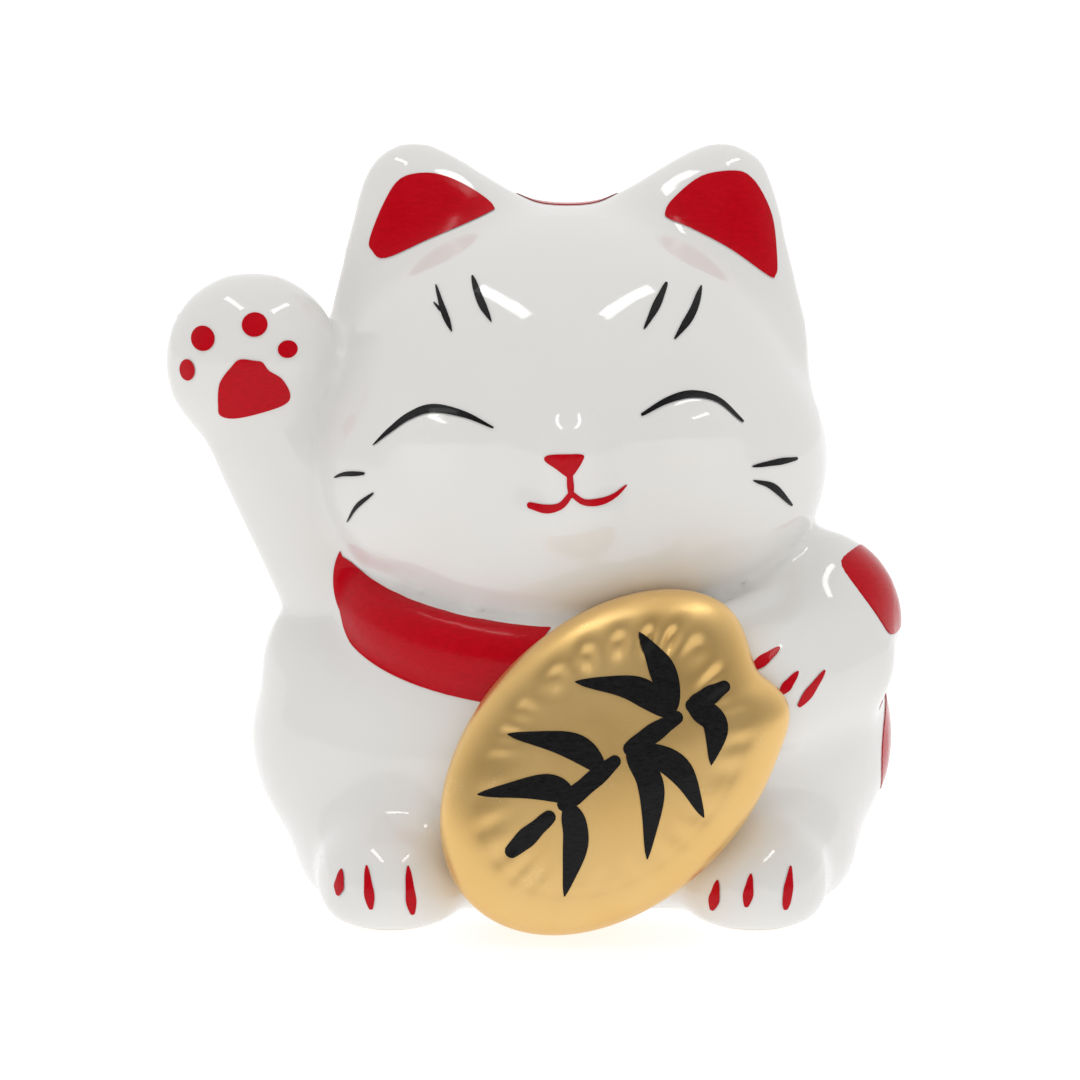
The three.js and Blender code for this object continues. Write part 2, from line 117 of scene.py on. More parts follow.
def ball(centre, radii):
    """A ball of clay, squashed to three radii."""
    bpy.ops.object.select_all(action="DESELECT")
    bpy.ops.mesh.primitive_uv_sphere_add(segments=48, ring_count=32, radius=MM, location=at(*centre))
    made = bpy.context.object
    made.scale = radii
    return settle(made)


def limb(start, start_radius, end, end_radius, flatness=1.0, count=10):
    """A limb of clay that tapers between two round ends, thinner front to back where flatness is under 1."""
    balls = []
    for i in range(count):
        share = i / (count - 1)
        centre = Vector(start).lerp(Vector(end), share)
        radius = start_radius + (end_radius - start_radius) * share
        balls.append(ball(centre, (radius, radius * flatness, radius)))
    return join(balls)


def join(objects):
    """Puts several objects into one mesh, each still a separate lump."""
    pick(*objects)
    bpy.ops.object.join()
    return bpy.context.object


def smooth(obj, rounds):
    """Rubs a form down, as a wet sponge does."""
    return apply_modifier(obj, "SMOOTH", factor=0.5, iterations=rounds)


def fuse(objects, voxel, rounds):
    """Works separate lumps into one skin and smooths their joins."""
    whole = join(objects)
    apply_modifier(whole, "REMESH", mode="VOXEL", voxel_size=voxel * MM)
    return smooth(whole, rounds)


def block(low, high):
    """A square block between two corners."""
    bpy.ops.object.select_all(action="DESELECT")
    low, high = Vector(low), Vector(high)
    bpy.ops.mesh.primitive_cube_add(size=1, location=at(*((low + high) / 2)))
    made = bpy.context.object
    made.scale = (high - low) * MM
    return settle(made)


def below(height):
    """All the room under a height, ready to be cut away."""
    return block((-BEYOND, -BEYOND, -BEYOND / 2), (BEYOND, BEYOND, height))


def disc(radius, bottom, top):
    """A round slug on the plug's own centre line."""
    bpy.ops.object.select_all(action="DESELECT")
    middle = at(0, PLUG_Y, (top + bottom) / 2)
    bpy.ops.mesh.primitive_cylinder_add(
        vertices=96, radius=radius * MM, depth=(top - bottom) * MM, location=middle
    )
    return settle(bpy.context.object)


def carve(obj, tool, way="DIFFERENCE", keep=False):
    """Cuts, joins or keeps the common part of two solids."""
    apply_modifier(obj, "BOOLEAN", operation=way, object=tool, solver="MANIFOLD")
    if not keep:
        bpy.data.objects.remove(tool)
    return obj


def copy_of(obj):
    """A second object with its own mesh."""
    twin = obj.copy()
    twin.data = obj.data.copy()
    bpy.context.collection.objects.link(twin)
    return twin


def finish_piece(obj, name, body, slot, look, *nodes):
    """Names a finished piece, gives it its finish and says what it stands for in the frame."""
    obj.name = name
    obj.data.name = name
    obj.data.materials.clear()
    obj.data.materials.append(look)
    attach(obj, body)
    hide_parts(*nodes)
    return obj


# ------------------------------------------------------------------ finishes
def linear(hex_colour):
    """An sRGB hex colour as linear red, green, blue and alpha."""
    parts = [int(hex_colour[i : i + 2], 16) / 255 for i in (1, 3, 5)]
    return [c / 12.92 if c <= 0.04045 else ((c + 0.055) / 1.055) ** 2.4 for c in parts] + [1.0]


def put(look, kind, inputs=None, **settings):
    """Adds one node to a material or the world, with its settings and with values or links for its sockets.

    Sockets go by name or by number: a Mix has its share at 0 and its two colours at 6 and 7, a Map Range has
    the span it reads at 1 and 2 and the span it gives at 3 and 4, and a Math node has its values at 0 and 1.
    """
    made = look.node_tree.nodes.new(kind)
    for key, value in settings.items():
        setattr(made, key, value)
    for socket, value in (inputs or {}).items():
        if isinstance(value, bpy.types.NodeSocket):
            look.node_tree.links.new(value, made.inputs[socket])
        else:
            made.inputs[socket].default_value = value
    return made


def new_look(name, **shader):
    """A material and its Principled shader, with plain numbers and colours set straight on its sockets."""
    look = bpy.data.materials.new(name)
    look.use_nodes = True
    surface = look.node_tree.nodes["Principled BSDF"]
    for socket, value in shader.items():
        surface.inputs[socket.replace("_", " ")].default_value = value
    return look, surface


def feed(look, surface, **links):
    """Links patterns to the shader's sockets."""
    for socket, output in links.items():
        look.node_tree.links.new(output, surface.inputs[socket.replace("_", " ")])


def per_metre(millimetres):
    """The texture scale whose features come at this spacing."""
    return 1000 / millimetres


def glazed_earthenware():
    """White earthenware fired under a clear glaze: a glassy, slightly wavy skin with a few pinholes and
    specks, and bare buff clay where the glaze is wiped off the face that it stands on."""
    look, surface = new_look("glazed_earthenware", IOR=1.52)
    place = put(look, "ShaderNodeTexCoord").outputs["Object"]
    pooling = put(look, "ShaderNodeTexNoise", {"Vector": place, "Scale": per_metre(30), "Detail": 2.0})
    tint = put(
        look,
        "ShaderNodeMix",
        {0: pooling.outputs[0], 6: linear("#E9E8E5"), 7: linear("#E3E1DE")},
        data_type="RGBA",
    )
    cells = put(look, "ShaderNodeTexVoronoi", {"Vector": place, "Scale": per_metre(14)})
    rare = put(look, "ShaderNodeSeparateColor", {0: cells.outputs["Color"]})
    chosen = put(look, "ShaderNodeMath", {0: rare.outputs[0], 1: 0.93}, operation="GREATER_THAN")
    small = put(look, "ShaderNodeMath", {0: cells.outputs["Distance"], 1: 0.016}, operation="LESS_THAN")
    speck = put(look, "ShaderNodeMath", {0: chosen.outputs[0], 1: small.outputs[0]}, operation="MULTIPLY")
    specked = put(
        look,
        "ShaderNodeMix",
        {0: speck.outputs[0], 6: tint.outputs[2], 7: linear("#4A4640")},
        data_type="RGBA",
    )
    height = put(look, "ShaderNodeSeparateXYZ", {0: place})
    wiped = put(
        look,
        "ShaderNodeMapRange",
        {0: height.outputs["Z"], 1: 0.3 * MM, 2: 0.6 * MM, 3: 1.0, 4: 0.0},
        clamp=True,
    )
    colour = put(
        look,
        "ShaderNodeMix",
        {0: wiped.outputs[0], 6: specked.outputs[2], 7: linear("#D8CDBC")},
        data_type="RGBA",
    )
    gloss = put(look, "ShaderNodeMapRange", {0: wiped.outputs[0], 1: 0.0, 2: 1.0, 3: 0.06, 4: 0.8})
    wave = put(look, "ShaderNodeTexNoise", {"Vector": place, "Scale": per_metre(9), "Detail": 1.0})
    skin = put(look, "ShaderNodeBump", {"Height": wave.outputs[0], "Strength": 0.35, "Distance": 0.16 * MM})
    pits = put(look, "ShaderNodeTexVoronoi", {"Vector": place, "Scale": per_metre(5)})
    pit_edge = put(
        look,
        "ShaderNodeMapRange",
        {0: pits.outputs["Distance"], 1: 0.0, 2: 0.035, 3: 0.0, 4: 1.0},
        clamp=True,
    )
    pitted = put(
        look,
        "ShaderNodeBump",
        {"Height": pit_edge.outputs[0], "Strength": 0.25, "Distance": 0.1 * MM, "Normal": skin.outputs[0]},
    )
    feed(look, surface, Base_Color=colour.outputs[2], Roughness=gloss.outputs[0], Normal=pitted.outputs[0])
    return look


def brushed_enamel(name, dark, light, streak, rough):
    """Overglaze enamel laid on with a brush: glassy, with faint brush streaks, thin spots and burst bubbles.

    The streaks are this many millimetres apart.
    """
    look, surface = new_look(name, IOR=1.5, Specular_IOR_Level=0.12, Coat_Weight=0.08, Coat_Roughness=0.04)
    place = put(look, "ShaderNodeTexCoord").outputs["Object"]
    streaks = put(look, "ShaderNodeMapping", {"Vector": place, "Scale": (1.0, 1.0, 3.0)})
    brush = put(
        look,
        "ShaderNodeTexNoise",
        {"Vector": streaks.outputs[0], "Scale": per_metre(streak), "Detail": 4.0, "Roughness": 0.6},
    )
    spread = put(
        look,
        "ShaderNodeMapRange",
        {0: brush.outputs[0], 1: 0.35, 2: 0.7, 3: 0.0, 4: 1.0},
        clamp=True,
    )
    colour = put(
        look, "ShaderNodeMix", {0: spread.outputs[0], 6: linear(dark), 7: linear(light)}, data_type="RGBA"
    )
    gloss = put(look, "ShaderNodeMapRange", {0: brush.outputs[0], 1: 0.3, 2: 0.8, 3: rough, 4: rough * 2.2})
    bubbles = put(look, "ShaderNodeTexVoronoi", {"Vector": place, "Scale": per_metre(2.6)})
    burst = put(
        look,
        "ShaderNodeMapRange",
        {0: bubbles.outputs["Distance"], 1: 0.0, 2: 0.09, 3: 0.0, 4: 1.0},
        clamp=True,
    )
    laid = put(look, "ShaderNodeBump", {"Height": brush.outputs[0], "Strength": 0.4, "Distance": 0.12 * MM})
    skin = put(
        look,
        "ShaderNodeBump",
        {"Height": burst.outputs[0], "Strength": 0.3, "Distance": 0.08 * MM, "Normal": laid.outputs[0]},
    )
    feed(look, surface, Base_Color=colour.outputs[2], Roughness=gloss.outputs[0], Normal=skin.outputs[0])
    return look


def gold_lacquer():
    """Bronze powder in clear lacquer: a warm satin metal, mottled where powder settled, with painted glints:
    pale cream spots on the powder grains stand in for light catching them.

    Real grains are finer than shows at arm's length, so they are drawn half a millimetre apart.
    """
    look, surface = new_look("gold_lacquer", Metallic=0.82)
    place = put(look, "ShaderNodeTexCoord").outputs["Object"]
    settled = put(look, "ShaderNodeTexNoise", {"Vector": place, "Scale": per_metre(16), "Detail": 3.0})
    colour = put(
        look,
        "ShaderNodeMix",
        {0: settled.outputs[0], 6: linear("#E1B469"), 7: linear("#EFCC8C")},
        data_type="RGBA",
    )
    grains = put(look, "ShaderNodeTexVoronoi", {"Vector": place, "Scale": per_metre(0.5)})
    grain_size = put(
        look,
        "ShaderNodeMapRange",
        {0: grains.outputs["Distance"], 1: 0.1, 2: 0.35, 3: 1.0, 4: 0.0},
        clamp=True,
    )
    dusty = put(look, "ShaderNodeTexNoise", {"Vector": place, "Scale": per_metre(9), "Detail": 3.0})
    patchy = put(
        look,
        "ShaderNodeMapRange",
        {0: dusty.outputs[0], 1: 0.61, 2: 0.76, 3: 0.0, 4: 1.0},
        clamp=True,
    )
    # Painted glints: where grains show, in patches, the colour is lightened to cream as though the powder
    # caught the light.
    glint_spots = put(
        look,
        "ShaderNodeMath",
        {0: grain_size.outputs[0], 1: patchy.outputs[0]},
        operation="MULTIPLY",
    )
    painted_glint = put(
        look,
        "ShaderNodeMix",
        {0: glint_spots.outputs[0], 6: colour.outputs[2], 7: linear("#FFF2C8")},
        data_type="RGBA",
    )
    gloss = put(look, "ShaderNodeMapRange", {0: settled.outputs[0], 1: 0.3, 2: 0.7, 3: 0.30, 4: 0.42})
    powder = put(look, "ShaderNodeTexNoise", {"Vector": place, "Scale": per_metre(0.8), "Detail": 2.0})
    skin = put(look, "ShaderNodeBump", {"Height": powder.outputs[0], "Strength": 0.12, "Distance": 0.1 * MM})
    feed(look, surface, Base_Color=painted_glint.outputs[2], Roughness=gloss.outputs[0], Normal=skin.outputs[0])
    return look


def soft_pvc():
    """Moulded soft PVC: matt, a little see-through, with a fine spark-eroded grain."""
    look, surface = new_look(
        "soft_pvc", Roughness=0.55, IOR=1.53, Subsurface_Weight=0.3, Subsurface_Scale=2 * MM
    )
    place = put(look, "ShaderNodeTexCoord").outputs["Object"]
    cloud = put(look, "ShaderNodeTexNoise", {"Vector": place, "Scale": per_metre(8), "Detail": 3.0})
    colour = put(
        look,
        "ShaderNodeMix",
        {0: cloud.outputs[0], 6: linear("#E2E0D6"), 7: linear("#D4D1C4")},
        data_type="RGBA",
    )
    grain = put(look, "ShaderNodeTexNoise", {"Vector": place, "Scale": per_metre(0.5), "Detail": 2.0})
    skin = put(look, "ShaderNodeBump", {"Height": grain.outputs[0], "Strength": 0.3, "Distance": 0.05 * MM})
    feed(look, surface, Base_Color=colour.outputs[2], Normal=skin.outputs[0])
    return look


GLAZE = glazed_earthenware()
RED = brushed_enamel("red_enamel", "#B40011", "#C20018", 1.6, 0.10)
BLACK = brushed_enamel("black_enamel", "#0F0E0F", "#1C1B1C", 1.2, 0.24)
GOLD = gold_lacquer()
PVC = soft_pvc()


# ------------------------------------------------------------------ the casting
def rolled_collar():
    """The rolled collar in relief: a ring round the neck that hangs lower in front."""
    bpy.ops.object.select_all(action="DESELECT")
    thin = 0.1
    bpy.ops.mesh.primitive_torus_add(
        location=at(0, 0, NECK_Z),
        major_radius=MM,
        minor_radius=thin * MM,
        major_segments=96,
        minor_segments=24,
    )
    roll = bpy.context.object
    for vertex in roll.data.vertices:
        x, y, z = vertex.co / MM
        around = math.hypot(x, y)
        out = (around - 1) / thin * COLLAR_PROUD
        side, back = x / around, y / around
        fall = back * (COLLAR_DROP if back < 0 else COLLAR_RISE)
        vertex.co = (
            side * (NECK_HALF_WIDTH + out) * MM,
            back * (NECK_HALF_DEPTH + out) * MM,
            (z / thin * COLLAR_HALF_HEIGHT + fall) * MM,
        )
    return settle(roll)


def trunk():
    """Belly, chest, lowered arm, feet and tail, worked into each other."""
    belly = ball((0, 4, 29), (65, 49, 42))
    chest = ball((0, 0, 50), (46, 36.5, 24))
    left_shoulder = ball((46.5, -6, 54), (19.5, 19.5, 19))
    left_forearm = limb((50, -16, 48), 14.5, (36, -34, 45), 13.5)
    right_shoulder = ball((-44, -2, 44), (18.5, 20, 19))
    feet = [ball((x, -34, 8), (15.5, 20.5, 13.5)) for x in (-FOOT_X, FOOT_X)]
    haunches = [ball((-40, -6, 11), (16, 30, 17)), ball((41, -6, 12), (17, 30, 18))]
    tail = limb((0, 48, 13), 10, (27, 44, 24), 9)
    lumps = [belly, chest, left_shoulder, left_forearm, right_shoulder, *feet, *haunches, tail]
    whole = fuse(lumps, CLAY_GRAIN, 0)
    carve(whole, below(-0.4))
    apply_modifier(whole, "REMESH", mode="VOXEL", voxel_size=CLAY_GRAIN * MM)
    return smooth(whole, 16)


def head():
    """Skull, cheeks, jaw and ears in one soft form."""
    skull = ball((HEAD_X - 0.5, 0, HEAD_Z), (48, 43.5, 44.5))
    jaw = ball((HEAD_X, -6, HEAD_Z - 19), (39.5, 37.5, 24.5))
    lumps = [skull, jaw]
    for side in (-1, 1):
        cheek = ball((HEAD_X + side * 19, -3, 86), (33.3, 38.5, 30))
        tip = (HEAD_X + side * EAR_X, 3, 138)
        outer_edge = limb((HEAD_X + side * 33.8, 3, 106), 15.7, tip, 11.5, 0.75)
        inner_edge = limb((HEAD_X + side * 15, 3, 123), 16, tip, 11.5, 0.75)
        lumps += [cheek, outer_edge, inner_edge]
    whole = fuse(lumps, CLAY_GRAIN, 14)
    bridge = ball((HEAD_X, -37.5, 91), (9.5, 11, 10))
    nose = ball((HEAD_X, -39.5, 84), (5.5, 9, 6))
    muzzle = ball((HEAD_X, -35, 80), (13, 12.5, 9))
    right_eye = ball((HEAD_X - 22, -29, 93), (14, 14, 9))
    left_eye = ball((HEAD_X + 22, -29, 94), (14, 14, 9))
    return fuse([whole, bridge, nose, muzzle, right_eye, left_eye], 1.6, 8)


def raised_arm():
    """The raised arm and its paw."""
    arm = limb(ARM_START, ARM_START_RADIUS, ARM_END, ARM_END_RADIUS)
    paw = ball(PAW, (17.8, 14.5, 18))
    return fuse([arm, paw], CLAY_GRAIN, 10)


def hollow():
    """The space that the drained slip leaves inside."""
    lumps = [
        ball((0, 4, 26), (63.5 - WALL, 48 - WALL, 42 - WALL)),
        ball((0, 0, 50), (46 - WALL, 36.5 - WALL, 24 - WALL)),
        ball((HEAD_X, 0, HEAD_Z), (46.5 - WALL, 43.5 - WALL, 44.5 - WALL)),
        limb(ARM_START, ARM_START_RADIUS - WALL, ARM_END, ARM_END_RADIUS - WALL),
        ball(PAW, (18 - WALL, 14.5 - WALL, 18 - WALL)),
    ]
    inside = fuse(lumps, 4, 2)
    return carve(inside, below(FLOOR))


# The lumps are fused, then the openings are cut before the last smoothing, which rounds their edges as glaze
# does. The cast is kept solid for the coats of paint, and the shell is a hollowed copy of it.
cast = fuse([trunk(), head(), raised_arm(), rolled_collar()], CAST_GRAIN, 0)
carve(cast, block(SLOT_LOW, SLOT_HIGH))
carve(cast, disc(HOLE_RADIUS, -5, FLOOR + 4))
apply_modifier(cast, "REMESH", mode="VOXEL", voxel_size=CAST_GRAIN * MM)
smooth(cast, 6)
carve(cast, below(0))
pick(cast)
bpy.ops.object.shade_smooth()
shell = copy_of(cast)
carve(shell, hollow())
carve(shell, disc(HOLE_RADIUS, -5, FLOOR + 4))
carve(shell, disc(RECESS_RADIUS, -5, RECESS_DEPTH))
pick(shell)
bpy.ops.object.shade_smooth_by_angle(angle=math.radians(50))
finish_piece(shell, "glazed_shell", "cat", "ceramic_glaze", GLAZE, "ceramic_shell")


# ------------------------------------------------------------------ brushwork
def spline(points, steps, closed=False):
    """Points along a smooth curve through a few given ones."""
    count = len(points)
    made = []
    spans = count if closed else count - 1
    for i in range(spans):
        if closed:
            a, b, c, d = (Vector(points[(i + k) % count]) for k in (-1, 0, 1, 2))
        else:
            b, c = Vector(points[i]), Vector(points[i + 1])
            a = Vector(points[i - 1]) if i else b * 2 - c
            d = Vector(points[i + 2]) if i + 2 < count else c * 2 - b
        for k in range(steps):
            t = k / steps
            bend = a * 2 - b * 5 + c * 4 - d
            twist = b * 3 - a - c * 3 + d
            made.append((b * 2 + (c - a) * t + bend * t * t + twist * t**3) / 2)
    return made if closed else made + [Vector(points[-1])]


def round_end(here, along, half):
    """The points that round off one end of a stroke, from its right side to its left."""
    across = Vector((-along.y, along.x))
    angles = [math.pi * k / 6 for k in range(1, 6)]
    return [here + (along * math.sin(angle) - across * math.cos(angle)) * half for angle in angles]


def stroke(points, width, thin=(0.25, 0.25), belly=0.5, steps=10):
    """The outline of one brush stroke: thin is how full its two ends are, belly is where it is fullest."""
    line = spline(points, steps)
    left, right, halves = [], [], []
    phase = random.uniform(0, math.pi)
    for i, here in enumerate(line):
        share = i / (len(line) - 1)
        along = (line[min(i + 1, len(line) - 1)] - line[max(i - 1, 0)]).normalized()
        end = thin[0] if share < belly else thin[1]
        reach = share / belly if share < belly else (1 - share) / (1 - belly)
        full = end + (1 - end) * math.sin(math.pi / 2 * min(1, reach)) ** 0.8
        half = width / 2 * full * (1 + 0.06 * math.sin(phase + 11 * share))
        across = Vector((-along.y, along.x)) * half
        left.append(here + across)
        right.append(here - across)
        halves.append(half)
    tip = round_end(line[-1], (line[-1] - line[-2]).normalized(), halves[-1])
    tail = round_end(line[0], (line[0] - line[1]).normalized(), halves[0])
    return right + tip + left[::-1] + tail


def oval(centre, radii, count=32):
    """The outline of an oval."""
    angles = [2 * math.pi * i / count for i in range(count)]
    return [centre + Vector((radii[0] * math.cos(angle), radii[1] * math.sin(angle))) for angle in angles]


def cutter(outline, facing, depth=90):
    """A solid with a drawn outline, standing in front of the painter's plane. Outlines are in millimetres."""
    bpy.ops.object.select_all(action="DESELECT")
    bpy.ops.mesh.primitive_circle_add(vertices=len(outline), radius=MM, fill_type="NGON")
    made = bpy.context.object
    area = sum(a.x * b.y - b.x * a.y for a, b in zip(outline, outline[1:] + outline[:1]))
    ordered = outline if area > 0 else outline[::-1]
    for vertex, point in zip(made.data.vertices, ordered):
        vertex.co = (point.x * MM, point.y * MM, 0)
    bpy.ops.object.mode_set(mode="EDIT")
    bpy.ops.mesh.select_all(action="SELECT")
    bpy.ops.mesh.extrude_region_move(TRANSFORM_OT_translate={"value": (0, 0, depth * MM)})
    bpy.ops.mesh.select_all(action="SELECT")
    bpy.ops.mesh.normals_make_consistent(inside=False)
    bpy.ops.object.mode_set(mode="OBJECT")
    made.matrix_world = facing
    return settle(made)


def facing(right, up, start):
    """Where the painter stands: right and up on the cat, and how far out the brush starts, in millimetres."""
    right, up = Vector(right), Vector(up)
    out = right.cross(up)
    turn = Matrix((right, up, out)).transposed().to_4x4()
    return Matrix.Translation(MIDDLE + out * start * MM) @ turn


FROM_FRONT = facing((1, 0, 0), (0, 0, 1), 1)
FROM_BACK = facing((-1, 0, 0), (0, 0, 1), 2)
FROM_LEFT = facing((0, 1, 0), (0, 0, 1), 30)
BEHIND_PAW = facing((-1, 0, 0), (0, 0, 1), PAW.y - 1)
FROM_TOP = facing((1, 0, 0), (0, 1, 0), SLOT_HIGH[2] + 6)


def grown(obj, by):
    """A copy of a solid, grown all over."""
    return apply_modifier(copy_of(obj), "DISPLACE", direction="NORMAL", mid_level=0.0, strength=by * MM)


def coat(name, outlines, painter, film, skin, slot, look):
    """One coat of paint: outlines pushed through a film on the glaze, and shaded as the skin it covers."""
    tool = cutter(outlines[0], painter)
    for outline in outlines[1:]:
        carve(tool, cutter(outline, painter), "UNION")
    carve(tool, film, "INTERSECT", keep=True)
    pick(tool)
    bpy.ops.object.shade_smooth()
    apply_modifier(
        tool,
        "DATA_TRANSFER",
        object=skin,
        use_loop_data=True,
        data_types_loops={"CUSTOM_NORMAL"},
        loop_mapping="POLYINTERP_NEAREST",
    )
    return finish_piece(tool, name + "_coat", "cat", slot, look, name)


def in_box(node, points, axes=(0, 2), inset=0.0, mirror=False):
    """Points given as shares of a painted mark's own box, in millimetres on the cat."""
    low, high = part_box(node)
    made = []
    for u, v in points:
        place = []
        for share, axis in ((u, axes[0]), (v, axes[1])):
            start, end = low[axis] + inset * MM, high[axis] - inset * MM
            place.append((start + (end - start) * share - MIDDLE[axis]) / MM)
        made.append(Vector((-place[0] if mirror else place[0], place[1])))
    return made


under = grown(cast, -0.05)
FILM_SKIN = carve(grown(cast, FILM), under)
BODY_SKIN = grown(cast, FILM)


def enamel(name, outlines, painter=FROM_FRONT, look=RED):
    """A coat of enamel on the casting."""
    slot = "red_enamel" if look is RED else "black_enamel"
    return coat(name, outlines, painter, FILM_SKIN, BODY_SKIN, slot, look)


# Eyes, brows and whiskers: each line is its points in its own box, its width, how full its ends are, and
# where it is fullest.
LINES = {
    "eye_line_right": (
        [(0, 0), (0.14, 0.4), (0.3, 0.78), (0.5, 1), (0.76, 0.88), (1, 0.56)], 1.4, (0.1, 0.25), 0.6,
    ),
    "eye_line_left": ([(0, 0.35), (0.25, 0.82), (0.5, 1), (0.76, 0.76), (1, 0)], 1.3, (0.45, 0.3), 0.4),
    "brow_right_inner": ([(0, 1), (0.4, 0.5), (1, 0)], 1.5, (0.3, 0.15), 0.5),
    "brow_left_inner": ([(1, 1), (0.55, 0.52), (0, 0)], 1.5, (0.4, 0.15), 0.45),
    "brow_left_outer": ([(1, 1), (0.64, 0.5), (0, 0)], 1.6, (0.2, 0.2), 0.5),
    "whisker_right_upper": ([(0, 0), (0.35, 0.6), (1, 1)], 0.9, (0.15, 0.6), 0.8),
    "whisker_right_lower": ([(1, 1), (0.4, 0.55), (0, 0)], 0.8, (0.4, 0.15), 0.3),
    "whisker_left_upper": ([(0, 0.2), (0.5, 0.7), (1, 0.9)], 1.2, (0.25, 0.5), 0.6),
    "whisker_left_lower": ([(0, 1), (0.5, 0.72), (1, 0)], 1.3, (0.2, 0.3), 0.6),
}
for name, (points, width, thin, belly) in LINES.items():
    enamel(name, [stroke(in_box(name, points, inset=0.3), width, thin, belly)], look=BLACK)
fork = "brow_right_outer"
enamel(
    fork,
    [
        stroke(in_box(fork, [(0.1, 1), (0.5, 0.5), (1, 0)]), 1.2, (0.2, 0.15), 0.7),
        stroke(in_box(fork, [(0, 0.62), (0.3, 0.5), (0.62, 0.4)]), 0.7, (0.2, 0.9), 0.8),
    ],
    look=BLACK,
)

# Nose and mouth in one red coat.
face = "nose_and_mouth"
NOSE = [
    (0.2, 0.88), (0.23, 0.97), (0.4, 1), (0.56, 0.99), (0.57, 0.9), (0.48, 0.66), (0.42, 0.62), (0.31, 0.75),
]
LIP = [(0.44, 0.7), (0.455, 0.32)]
SMILE_RIGHT = [(0.46, 0.36), (0.36, 0.15), (0.22, 0.08), (0.06, 0.12)]
SMILE_LEFT = [(0.45, 0.36), (0.58, 0.2), (0.74, 0.19), (0.88, 0.27), (0.99, 0.42)]
enamel(
    face,
    [
        spline(in_box(face, NOSE), 5, True),
        stroke(in_box(face, LIP), 1.3, (0.9, 0.9)),
        stroke(in_box(face, SMILE_RIGHT), 1.6, (0.5, 0.8), 0.7),
        stroke(in_box(face, SMILE_LEFT), 1.3, (0.7, 0.2), 0.4),
    ],
)

# Ears and pads are patches with a soft outline.
PATCHES = {
    "ear_red_right": [
        (0, 0.22), (0.02, 0.08), (0.13, 0), (0.49, 0.24), (0.94, 0.53), (1, 0.61),
        (0.87, 0.77), (0.65, 0.94), (0.45, 1), (0.25, 0.93), (0.12, 0.66),
    ],
    "ear_red_left": [
        (0, 0.62), (0.07, 0.74), (0.32, 0.95), (0.62, 1), (0.77, 0.93), (0.89, 0.74), (0.97, 0.5),
        (1, 0.12), (0.98, 0.01), (0.92, 0.01), (0.58, 0.27), (0.23, 0.47), (0.03, 0.56),
    ],
    "palm_pad": [
        (0.03, 0.59), (0, 0.2), (0.03, 0.04), (0.23, 0), (0.6, 0.1), (0.93, 0.24), (1, 0.41),
        (0.89, 0.67), (0.72, 0.81), (0.63, 0.95), (0.52, 0.98), (0.32, 1), (0.2, 0.88),
    ],
}
for name, points in PATCHES.items():
    enamel(name, [spline(in_box(name, points), 5, True)])


def oval_in(node, axes=(0, 2), mirror=False, share=1.0):
    """An oval that takes up this share of a painted mark's box."""
    low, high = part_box(node)
    radii = [(high[axis] - low[axis]) / 2 / MM * share for axis in axes]
    return oval(in_box(node, [(0.5, 0.5)], axes, mirror=mirror)[0], radii)


for i in range(1, 5):
    enamel(f"toe_pad_{i}", [oval_in(f"toe_pad_{i}")])
enamel("crown_spot", [oval_in("crown_spot", (0, 1), share=0.86)], FROM_TOP)
enamel("flank_spot", [oval_in("flank_spot", (1, 2), share=1.12)], FROM_LEFT)
enamel("raised_paw_back_spot", [oval_in("raised_paw_back_spot", mirror=True, share=1.42)], BEHIND_PAW)
SHOULDER = [
    (0.05, 0.84), (-0.1, 0.5), (-0.12, 0.1), (0.02, -0.02), (0.49, 0),
    (0.85, 0.19), (1, 0.56), (0.78, 0.86), (0.4, 0.95),
]
enamel("shoulder_spot", [spline(in_box("shoulder_spot", SHOULDER, (1, 2)), 5, True)], FROM_LEFT)

# Claws: thin where the brush lands at the top, full and round at the bottom. Two of them lean the other way,
# and two run on under the edge of the coin, in millimetres across and down.
UNDER_COIN = {"left_paw_claw_1": Vector((-5.2, -3.4)), "left_paw_claw_2": Vector((-3.2, -3.6))}
for paw in ("right_foot", "left_foot", "left_paw"):
    for i in range(1, 4):
        name = f"{paw}_claw_{i}"
        leans_back = name in ("right_foot_claw_2", "right_foot_claw_3")
        top, bottom = ((0, 1), (1, 0)) if leans_back else ((1, 1), (0, 0))
        points = in_box(name, [top, (0.5, 0.5), bottom], inset=0.55)
        if name in UNDER_COIN:
            points[1:] = [points[0] + UNDER_COIN[name] * 0.5, points[0] + UNDER_COIN[name]]
        enamel(name, [stroke(points, 1.9, (0.25, 0.55), 0.7)])


def collar_band(node, rise, half_height, slant=0.0, mirror=False):
    """The red band along the rolled collar. Its last end may slant, as the coin's edge does."""
    low, high = in_box(node, [(0, 0), (1, 1)], mirror=mirror)
    start, end = sorted((low.x, high.x))
    lower, upper = [], []
    for i in range(61):
        share = (1 - math.cos(math.pi * i / 60)) / 2
        for edge, side, reach in ((lower, -1, end - slant), (upper, 1, end)):
            x = start + (reach - start) * share
            middle = NECK_Z + rise * math.sqrt(max(0, 1 - (x / NECK_HALF_WIDTH) ** 2))
            tuck = min(1, (x - start) / 4, (end - x) / 4 if mirror else 1)
            edge.append(Vector((x, middle + side * half_height * math.sqrt(max(0, tuck * (2 - tuck))))))
    return lower + upper[::-1]


enamel("collar_red_front", [collar_band("collar_red_front", -COLLAR_DROP, 7.8, 13)])
enamel("collar_red_back", [collar_band("collar_red_back", COLLAR_RISE, 6, mirror=True)], FROM_BACK)


# ------------------------------------------------------------------ the coin
COIN_PLACE = (
    Matrix.Translation(at(*COIN_MIDDLE))
    @ Matrix.Rotation(-COIN_TIP, 4, "X")
    @ Matrix.Rotation(COIN_LEAN, 4, "Y")
    @ Matrix.Rotation(math.radians(90), 4, "X")
)


